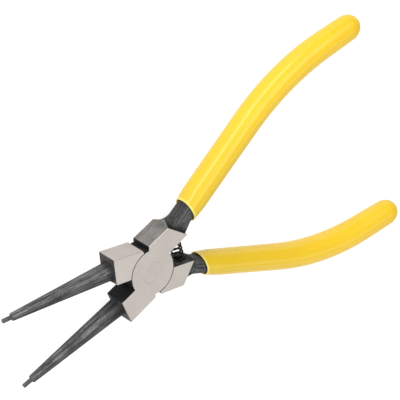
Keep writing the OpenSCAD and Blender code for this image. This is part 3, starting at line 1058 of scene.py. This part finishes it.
@dataclass
class VinylGrip:
    """One dipped grip: an oval carried along the handle, with a rolled lip, a hollow and a round end."""

    half: Half
    joint: JointFrame
    axis: HandleAxis = field(default_factory=HandleAxis)
    sides: int = 64
    mouth_at: float = 10.6 * MM
    mouth_slant: float = math.radians(24.0)
    mouth_size: tuple[float, float] = (8.3 * MM, 10.2 * MM)
    full_at: float = 17.0 * MM
    full_size: tuple[float, float] = (9.2 * MM, 10.8 * MM)
    swell: tuple[float, float] = (0.5 * MM, 0.6 * MM)
    end_size: tuple[float, float] = (9.8 * MM, 9.2 * MM)
    dome: float = 5.6 * MM
    cap: float = 8.0 * MM
    tang_size: tuple[float, float] = (6.3 * MM, 8.2 * MM)
    hollow_gap: float = 0.06 * MM
    mouth_gap: float = 0.3 * MM
    # Length of the painted highlight on the lip.
    rim_length: float = 0.9 * MM
    flare_length: float = 2.5 * MM
    # How far along the handle the painted shade at the mouth reaches.
    veil_length: float = 56.0 * MM
    blind_inset: float = 0.4
    dome_turn: float = 0.985 * math.pi / 2
    coat_reach: float = 3.0
    end_coat: float = 0.2
    # Strength of the painted highlight on the lip.
    rim_strength: float = 0.8
    hollow_rings: int = 40
    flare_rings: int = 5
    mouth_rings: int = 18
    body_rings: int = 72
    dome_rings: int = 14
    lip_rings: int = 9

    def outer_size(self, s: np.ndarray) -> np.ndarray:
        """Width and height of the outside: eased from the mouth to full size, then over a swell to the end.

        With f the share of the way from full size to the end, the swell adds 27/4 f^2 (1 - f) of its size,
        which peaks at two thirds.

        Args:
            s: Distances along the handle.

        Returns:
            Sizes, n by 2.
        """
        mouth, full, end = (np.array(v) for v in (self.mouth_size, self.full_size, self.end_size))
        rise = smooth((s - self.mouth_at) / (self.full_at - self.mouth_at))[:, None]
        run = self.axis.length - self.dome - self.full_at
        fall = np.clip((s - self.full_at) / run, 0.0, 1.0)[:, None]
        swell = np.array(self.swell) * fall**2 * (1.0 - fall) * 27 / 4
        return mouth + (full - mouth) * rise + (end - full) * fall + swell

    def lean(self, s: np.ndarray) -> np.ndarray:
        """Tangent of the lean of each section, which fades from the mouth to the bend."""
        fade = np.clip((s - self.mouth_at) / (self.axis.straight - self.mouth_at), 0.0, 1.0)
        return np.tan(self.mouth_slant * (1.0 - fade))

    def rings(self, s: np.ndarray, across: np.ndarray, up: np.ndarray) -> np.ndarray:
        """Carries sections along the handle.

        A point lies at the line's place, shifted along the line by the lean times its offset across it.

        Args:
            s: Distance of each ring.
            across: Offsets across the line, rings by sides.
            up: Heights over the middle plane, rings by sides.

        Returns:
            Points in the half's own frame, rings by sides by 3.
        """
        place = self.axis.place(s)[:, None, :]
        a = self.axis.direction(s)[:, None]
        along = across * self.lean(s)[:, None]
        x = place[..., 0] + along * np.cos(a) - across * np.sin(a)
        y = place[..., 1] + along * np.sin(a) + across * np.cos(a)
        return np.stack([x, y, up], axis=-1)

    def round_angles(self) -> np.ndarray:
        """Angles round a section, half a step off the axes so that a flat falls between two of them."""
        return 2.0 * math.pi * (np.arange(self.sides) + 0.5) / self.sides

    def hollow(self) -> tuple[np.ndarray, np.ndarray, np.ndarray]:
        """The inside, from its blind end to the mouth: arcs and flats round the tang, then a flare.

        Returns:
            Distances, offsets across and heights of its rings.
        """
        blind = self.axis.length - self.cap + self.hollow_gap
        start = self.mouth_at + self.lip_radius()
        flared = self.flare_length * np.linspace(1.0, 0.0, self.flare_rings + 1)
        body = np.linspace(blind, start + self.flare_length, self.hollow_rings)
        s = np.concatenate([[blind], body, start + flared[1:]])
        flare = smooth(1.0 - (s - start) / self.flare_length)
        gap = self.hollow_gap + (self.mouth_gap - self.hollow_gap) * flare
        gap[0] = -self.blind_inset * self.tang_size[0]
        radius = self.tang_size[0] / 2 + gap
        flat = (self.tang_size[1] - self.tang_size[0]) / 2
        turn = self.round_angles()
        across = radius[:, None] * np.cos(turn)
        up = radius[:, None] * np.sin(turn) + flat * np.sign(np.sin(turn))
        return s, across, up

    def lip_radius(self) -> float:
        """Radius of the rolled lip: half the wall at the mouth."""
        return (self.mouth_size[0] - self.tang_size[0]) / 4 - self.mouth_gap / 2

    def outside(self) -> tuple[np.ndarray, np.ndarray, np.ndarray]:
        """The outside, from the mouth over the bend to the round end, scaled by its latitude's cosine.

        Returns:
            Distances, offsets across and heights of its rings.
        """
        latitude = np.linspace(0.0, self.dome_turn, self.dome_rings)
        start = self.mouth_at + self.lip_radius()
        body_end = self.axis.length - self.dome
        s = np.concatenate([
            np.linspace(start, self.full_at, self.mouth_rings),
            np.linspace(self.full_at, body_end, self.body_rings)[1:-1],
            self.axis.length - self.dome * (1.0 - np.sin(latitude)),
        ])
        shrink = np.ones(len(s))
        shrink[-len(latitude):] = np.cos(latitude)
        size = self.outer_size(np.minimum(s, body_end)) * shrink[:, None] / 2
        turn = self.round_angles()
        return s, size[:, :1] * np.cos(turn), size[:, 1:] * np.sin(turn)

    def lip(self, inner: tuple[np.ndarray, ...], outer: tuple[np.ndarray, ...]) -> tuple[np.ndarray, ...]:
        """The rolled edge: half a circle from the inside's last ring to the outside's first ring.

        Args:
            inner: The inside's rings.
            outer: The outside's rings.

        Returns:
            Distances, offsets across and heights of its rings.
        """
        turn = np.linspace(0.0, math.pi, self.lip_rings)[1:-1]
        share = (1.0 - np.cos(turn)) / 2
        s = self.mouth_at + self.lip_radius() * (1.0 - np.sin(turn))
        across = inner[1][-1] + (outer[1][0] - inner[1][-1]) * share[:, None]
        up = inner[2][-1] + (outer[2][0] - inner[2][-1]) * share[:, None]
        return s, across, up

    def store_rings(self, mesh: bpy.types.Mesh, name: str, values: np.ndarray, poles: list[float]) -> None:
        """Keeps one number per ring on the mesh, and one for each pole."""
        store(mesh, name, np.concatenate([np.repeat(values, self.sides), poles]))

    def build(self, material: bpy.types.Material) -> bpy.types.Object:
        """Makes the grip in place of its solid.

        Args:
            material: The vinyl.

        Returns:
            The piece.
        """
        inner, outer = self.hollow(), self.outside()
        parts = (inner, self.lip(inner, outer), outer)
        s, across, up = (np.concatenate([p[i] for p in parts]) for i in range(3))
        own = self.rings(s, across, up)
        name = self.half.node("vinyl_grip")
        mesh = skin_mesh(name, self.joint.place(self.half, own))
        reach = self.coat_reach * self.dome
        coat = smooth((s - self.axis.length + reach) / reach) * self.end_coat
        coat[: len(inner[0])] = 1.0
        # Painted highlight on the rolled lip, fading over the rim's length.
        lip = smooth(1.0 - (s - self.mouth_at) / self.rim_length) * self.rim_strength
        lip[: len(inner[0])] = 0.0
        # Painted shade, deepest at the mouth and fading out along the handle.
        veil = np.clip(1.0 - (s - self.mouth_at) / self.veil_length, 0.0, 1.0)
        self.store_rings(mesh, "coat", coat, [1.0, coat[-1]])
        self.store_rings(mesh, "veil", veil, [0.0, 0.0])
        self.store_rings(mesh, "lip", lip, [0.0, 0.0])
        piece = add_object(name, mesh, material)
        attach(piece, self.half.body)
        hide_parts(self.half.node("grip"))
        return piece


@dataclass
class ReturnSpring:
    """The coil spring between the rear blocks: a round wire on a helix with one closed turn at each end."""

    joint: JointFrame
    behind_pivot: float = 13.9 * MM
    length: float = 13.1 * MM
    outer_diameter: float = 4.5 * MM
    wire: float = 0.7 * MM
    turns: float = 8.5
    closed_rise: float = 0.75 * MM
    steps_per_turn: int = 40
    sides: int = 14

    def rise(self, turns: np.ndarray) -> np.ndarray:
        """Height of the wire's middle: a slow first and last turn, and an even pitch between them.

        Args:
            turns: Turns from the start.

        Returns:
            Heights over the lower end.
        """
        open_rise = self.length - 2.0 * self.closed_rise - self.wire
        closed = np.minimum(turns, 1.0) + np.maximum(turns - self.turns + 1.0, 0.0)
        middle = np.clip((turns - 1.0) / (self.turns - 2.0), 0.0, 1.0)
        return self.wire / 2 + closed * self.closed_rise + open_rise * middle

    def build(self, material: bpy.types.Material) -> bpy.types.Object:
        """Makes the spring in place of its solid.

        A point of the wire is at the helix's radius plus the wire's own circle, at the angle of its turn.

        Args:
            material: The wire's finish.

        Returns:
            The piece.
        """
        turns = np.linspace(0.0, self.turns, int(self.turns * self.steps_per_turn) + 1)
        round_wire = 2.0 * math.pi * np.arange(self.sides) / self.sides
        radius = (self.outer_diameter - self.wire) / 2 + self.wire / 2 * np.cos(round_wire)[None, :]
        height = self.rise(turns)[:, None] + self.wire / 2 * np.sin(round_wire)[None, :]
        angle = 2.0 * math.pi * turns[:, None]
        x = self.behind_pivot + radius * np.cos(angle)
        z = self.joint.half_thickness - radius * np.sin(angle)
        y = height - self.length / 2
        mesh = skin_mesh("coil_spring", np.stack(np.broadcast_arrays(x, y, z), axis=-1))
        piece = add_object("coil_spring", mesh, material)
        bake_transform(piece)
        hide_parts("return_spring")
        return piece


def revolved(
    name: str, profile: np.ndarray, origin: np.ndarray, axis: np.ndarray, sides: int
) -> bpy.types.Mesh:
    """Turns a profile of (distance, radius) points about an axis.

    A point is the origin plus its distance along the axis plus its radius times the turning unit vector.

    Args:
        name: Name of the mesh.
        profile: Distances and radii, n by 2, with a small radius at each end.
        origin: Point on the axis.
        axis: Unit direction.
        sides: Points round the axis.

    Returns:
        The mesh.
    """
    first = np.cross(axis, [0.0, 0.0, 1.0] if abs(axis[2]) < 0.9 else [1.0, 0.0, 0.0])
    first /= np.linalg.norm(first)
    second = np.cross(axis, first)
    angle = 2.0 * math.pi * np.arange(sides) / sides
    spoke = np.cos(angle)[:, None] * first + np.sin(angle)[:, None] * second
    rings = origin + profile[:, :1, None] * axis + profile[:, 1:, None] * spoke[None, :, :]
    return skin_mesh(name, rings)


def rounded_corner(centre: tuple[float, float], radius: float, start: float, end: float) -> np.ndarray:
    """Points of an arc in a profile, from one angle to another, in degrees."""
    turn = np.radians(np.linspace(start, end, 6))
    return np.stack([centre[0] + radius * np.cos(turn), centre[1] + radius * np.sin(turn)], axis=-1)


@dataclass
class TipPin:
    """The stepped insert in a jaw's end: a pressed spigot, the working pin and its rounded end."""

    half: Half
    mount: dict[str, Any]
    spigot_radius: float = 0.6 * MM
    spigot_length: float = 6.0 * MM
    pin_length: float = 3.6 * MM
    end_round: float = 0.2 * MM
    foot_round: float = 0.06 * MM
    sides: int = 40
    crease_from: float = math.radians(40.0)

    def profile(self) -> np.ndarray:
        """Distances from the shoulder and radii, from the spigot's blind end to the pin's end."""
        r = self.mount["dims"]["r_mm"] * MM
        back, end = -self.spigot_length, self.pin_length
        return np.concatenate([
            [[back, POLE_RADIUS], [back, self.spigot_radius], [0.0, self.spigot_radius]],
            rounded_corner((self.foot_round, r - self.foot_round), self.foot_round, 180.0, 90.0),
            rounded_corner((end - self.end_round, r - self.end_round), self.end_round, 90.0, 0.0),
            [[end, POLE_RADIUS]],
        ])

    def build(self, material: bpy.types.Material) -> bpy.types.Object:
        """Makes the pin in place of its solid.

        Args:
            material: The pin's finish.

        Returns:
            The piece.
        """
        axis = np.array(self.mount["axis"], float)
        wall = self.mount["dims"]["length_mm"] * MM
        shoulder = np.array(self.mount["pos_m"], float) - axis * wall / 2
        name = self.half.node("pin_insert")
        piece = add_object(name, revolved(name, self.profile(), shoulder, axis, self.sides), material)
        piece.data.set_sharp_from_angle(angle=self.crease_from)
        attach(piece, self.half.body)
        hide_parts(self.half.node("tip_pin"))
        return piece


@dataclass
class PivotRivet:
    """The flush rivet: a shank and two countersunk heads whose rims are broken by a hair."""

    joint: JointFrame
    shank_radius: float = 2.8 * MM
    head_radius: float = 4.1 * MM
    head_depth: float = 1.3 * MM
    rim: float = 0.07 * MM
    sides: int = 96
    crease_from: float = math.radians(20.0)

    def profile(self) -> np.ndarray:
        """Distances from the middle plane and radii, mirrored from the upper head to the lower one."""
        top = self.joint.half_thickness
        upper = np.array([
            [top - self.head_depth, self.shank_radius],
            [top - 2.0 * self.rim, self.head_radius - 1.6 * self.rim],
            [top - self.rim, self.head_radius - 0.9 * self.rim],
            [top, self.head_radius - 2.0 * self.rim],
            [top, self.head_radius * 0.5],
            [top, POLE_RADIUS],
        ])
        lower = upper[::-1] * np.array([-1.0, 1.0])
        return np.concatenate([lower, upper])

    def build(self, material: bpy.types.Material) -> bpy.types.Object:
        """Makes the rivet in place of its solid.

        Args:
            material: The rivet's finish.

        Returns:
            The piece.
        """
        up = np.array([0.0, 0.0, 1.0])
        mesh = revolved("flush_rivet", self.profile(), self.joint.middle, up, self.sides)
        mesh.set_sharp_from_angle(angle=self.crease_from)
        piece = add_object("flush_rivet", mesh, material)
        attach(piece, Half.UPPER.body)
        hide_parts("pivot_rivet")
        return piece


@dataclass(frozen=True)
class SoftBox:
    """One rectangular studio light that points at the tool."""

    name: str
    place: tuple[float, float, float]
    size: tuple[float, float]
    power: float

    def build(self, target: Vector) -> bpy.types.Object:
        """Adds the light.

        Args:
            target: The point that it looks at.

        Returns:
            The light's object.
        """
        light = bpy.data.lights.new(self.name, "AREA")
        light.shape = "RECTANGLE"
        light.size, light.size_y = self.size
        light.energy = self.power
        lamp = bpy.data.objects.new(self.name, light)
        lamp.location = self.place
        lamp.rotation_euler = (target - Vector(self.place)).to_track_quat("-Z", "Y").to_euler()
        bpy.context.scene.collection.objects.link(lamp)
        return lamp


@dataclass
class Studio:
    """A white sweep under even light, and the camera where the photograph was taken from."""

    aim: tuple[float, float, float] = (25.986 * MM, 14.850 * MM, 8.262 * MM)
    azimuth: float = math.radians(216.539)
    elevation: float = math.radians(45.196)
    roll: float = math.radians(119.309)
    distance: float = 850.19 * MM
    lens: float = 221.44
    sensor: float = 36.0
    clip: tuple[float, float] = (0.01, 20.0)
    floor_drop: float = 0.05 * MM
    floor_half: float = 3.0
    floor_greys: tuple[float, float] = (0.34, 0.36)
    floor_grain: float = 40.0
    floor_bounce: float = 0.62
    floor_glow: float = 0.85
    world_strength: float = 0.45
    boxes: tuple[SoftBox, ...] = (
        SoftBox("long strip", (-0.02, 0.74, 0.70), (1.7, 0.5), 1.8),
        SoftBox("overhead box", (-0.09, 0.34, 0.94), (1.7, 0.42), 4.0),
        SoftBox("far box", (0.40, -0.5, 0.9), (0.7, 0.5), 1.0),
        SoftBox("low side strip", (-0.62, 1.46, 0.24), (2.4, 0.46), 12.2),
        SoftBox("jaw side box", (-1.2, -0.2, 0.5), (1.0, 0.8), 4.4),
        SoftBox("right side box", (0.1, -1.0, 0.42), (1.5, 0.5), 1.5),
    )

    def camera(self) -> bpy.types.Object:
        """Adds the camera: back along its azimuth and elevation from the aim, then rolled about its own axis.

        Returns:
            The camera's object.
        """
        lens = bpy.data.cameras.new("photo camera")
        lens.lens = self.lens
        lens.sensor_width = self.sensor
        lens.clip_start, lens.clip_end = self.clip
        flat, up = math.cos(self.elevation), math.sin(self.elevation)
        back = Vector((math.sin(self.azimuth) * flat, -math.cos(self.azimuth) * flat, up))
        right = Vector((0.0, 0.0, 1.0)).cross(back).normalized()
        level = Matrix((right, back.cross(right), back)).transposed()
        camera = bpy.data.objects.new("photo camera", lens)
        turned = (level @ Matrix.Rotation(self.roll, 3, "Z")).to_4x4()
        camera.matrix_world = Matrix.Translation(Vector(self.aim) + back * self.distance) @ turned
        bpy.context.scene.collection.objects.link(camera)
        bpy.context.scene.camera = camera
        return camera

    def floor(self, height: float) -> bpy.types.Object:
        """Adds the floor as a large square just under the tool.

        Args:
            height: Height of the tool's lowest point.

        Returns:
            The floor's object.
        """
        material, shader, surface = new_material("white sweep")
        grain = shader.add("ShaderNodeTexNoise", {"Vector": shader.place(), "Scale": self.floor_grain})
        deep, light = ((grey,) * 3 for grey in self.floor_greys)
        colour = shader.mix_colour(grain.outputs["Fac"], deep, light)
        connect(shader, surface, Base_Color=colour, Roughness=0.9, Specular_IOR_Level=0.1)
        seen = shader.add("ShaderNodeLightPath").outputs["Is Camera Ray"]
        glow = shader.mix_colour(seen, (self.floor_bounce,) * 3, (self.floor_glow,) * 3)
        connect(shader, surface, Emission_Color=glow, Emission_Strength=1.0)
        side = np.array([-1.0, 1.0]) * self.floor_half
        x, y = np.meshgrid(side, side, indexing="ij")
        points = np.stack([x, y, np.full_like(x, height - self.floor_drop)], axis=-1).reshape(-1, 3)
        mesh = bpy.data.meshes.new("white sweep")
        mesh.from_pydata(points.tolist(), [], [(0, 2, 3, 1)])
        sweep = add_object("white sweep", mesh, material)
        sweep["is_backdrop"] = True
        return sweep

    def light(self) -> None:
        """Adds the even white surroundings and the soft boxes."""
        world = bpy.data.worlds.new("white room")
        world.use_nodes = True
        world.node_tree.nodes["Background"].inputs["Color"].default_value = (1.0, 1.0, 1.0, 1.0)
        world.node_tree.nodes["Background"].inputs["Strength"].default_value = self.world_strength
        bpy.context.scene.world = world
        for box in self.boxes:
            box.build(Vector(self.aim))

    def build(self, height: float) -> None:
        """Sets up the camera, the floor and the lights, with plain display colours.

        Args:
            height: Height of the tool's lowest point.
        """
        bpy.context.scene.view_settings.view_transform = "Standard"
        self.camera()
        self.floor(height)
        self.light()


def main() -> None:
    """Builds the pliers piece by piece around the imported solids, then the studio."""
    logging.basicConfig(level=logging.INFO, format="%(message)s")
    for leftover in list(bpy.data.objects):
        bpy.data.objects.remove(leftover)
    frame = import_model()
    solid_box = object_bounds()
    record = frame["record"]
    joint = JointFrame.from_frame(record)
    mounts = {m["name"]: m for m in record["mounts"]}
    effects = EffectGroups()
    forged = ForgingFinish().material(effects)
    vinyl = VinylFinish().material(effects)
    pins = PIN_STEEL.material(effects)
    pieces = []
    for half in Half:
        pieces.append(ForgedHalf(half, joint).build(frame["nodes"][half.node("half")], forged))
        pieces.append(VinylGrip(half, joint).build(vinyl))
        pieces.append(TipPin(half, mounts[half.node("tip")]).build(pins))
    pieces.append(PivotRivet(joint).build(RIVET_STEEL.material(effects)))
    pieces.append(ReturnSpring(joint).build(WireFinish().material(effects)))
    for piece in pieces:
        LOG.info("%s: %d faces", piece.name, len(piece.data.polygons))
    Studio().build(solid_box[0].z)


if __name__ == "__main__":
    main()
